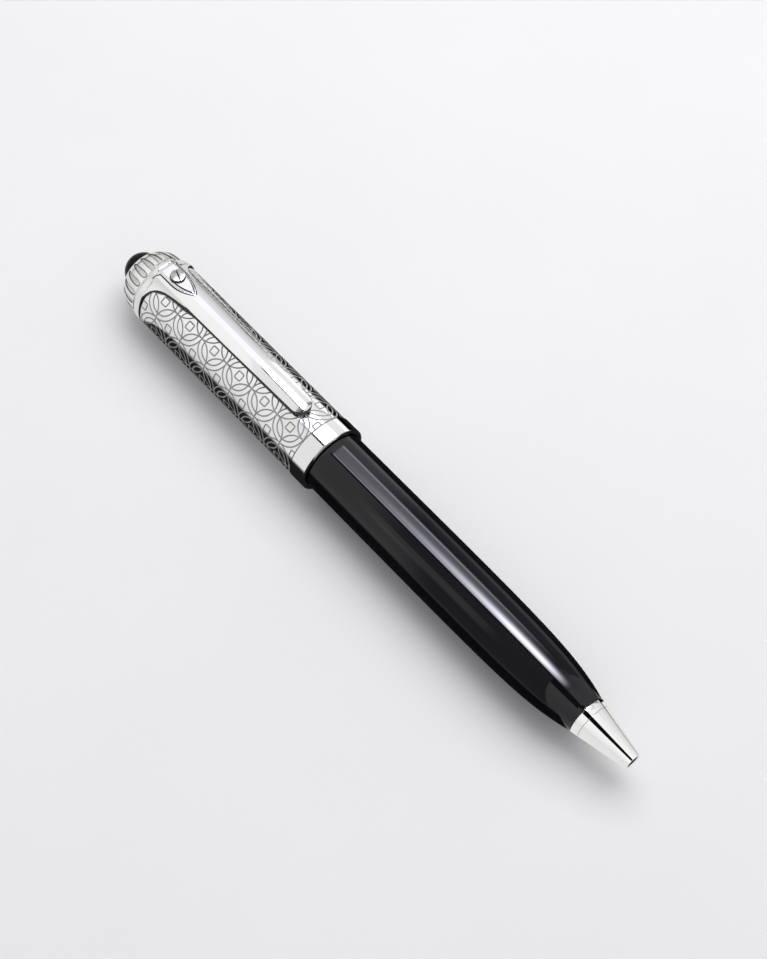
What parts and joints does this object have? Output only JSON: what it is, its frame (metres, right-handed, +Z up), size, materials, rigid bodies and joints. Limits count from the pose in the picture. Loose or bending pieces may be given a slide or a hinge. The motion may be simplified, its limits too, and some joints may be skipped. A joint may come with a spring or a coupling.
{
  "type": "rollerball pen",
  "caption": "Twist-action rollerball pen: engraved metal upper half with a screwed spring clip and fluted finial, slim lacquered barrel with an ogive front and conical metal nose.",
  "frame": {"origin": "centre of the bounding box in plan, on the plane that the pen's widest ring, its centre band, rests on", "axes": "+X along the pen towards the writing end, +Z up through the clip, +Y to the left when looking along +X"},
  "size_m": [0.1368, 0.0142, 0.0174],
  "materials": {
    "polished_silver": "mirror-polished bright plating",
    "engraved_silver": "polished plating with a fine engraved lattice of circles",
    "black_lacquer": "deep high-gloss lacquer over brass",
    "black_stone": "polished dome",
    "brass": "turned",
    "steel": "turned, bright",
    "refill_metal": "satin drawn tube",
    "white_acetal": "moulded",
    "black_rubber": "matt",
    "ink_fibre": "bonded fibre soaked with ink",
    "carbide": "polished ball"
  },
  "bodies": {
    "barrel_assembly": {"barrel": "black_lacquer", "barrel_coupler": "brass", "guide_tube": "steel", "retaining_ring": "steel", "thrust_washer": "white_acetal", "friction_o_ring": "black_rubber", "nose_ring": "polished_silver"},
    "cap_assembly": {"cabochon": "black_stone", "crown": "polished_silver", "finial_stud": "steel", "clip": "polished_silver", "clip_screw": "polished_silver", "clip_washer": "steel", "cap_insert": "brass", "engraved_sleeve": "engraved_silver", "cap_liner": "brass", "centre_band": "polished_silver", "cam_tube": "brass"},
    "nose": {"nose_cone": "polished_silver"},
    "refill": {"carrier": "white_acetal", "follower_pin": "steel", "refill_tube": "refill_metal", "refill_end_plug": "white_acetal", "refill_nose": "white_acetal", "refill_tip": "steel", "ink_reservoir": "ink_fibre", "feed_rod": "ink_fibre", "return_spring": "steel", "refill_ball": "carbide"}
  },
  "joints": [
    {"name": "cap_twist", "type": "hinge", "parent": "barrel_assembly", "child": "cap_assembly", "pos_m": [-0.009, 0, 0.00715], "axis": [1, 0, 0], "range_deg": [0, 180]},
    {"name": "refill_slide", "type": "slide", "parent": "barrel_assembly", "child": "refill", "axis": [1, 0, 0], "range_m": [0, 0.005], "deforming": ["return_spring"]},
    {"name": "nose_unscrew", "type": "slide", "parent": "barrel_assembly", "child": "nose", "axis": [1, 0, 0], "range_m": [0, 0.021]}
  ],
  "couplings": [
    {"joint": "refill_slide", "follows": "cap_twist", "m_per_rad": 0.0015915}
  ]
}
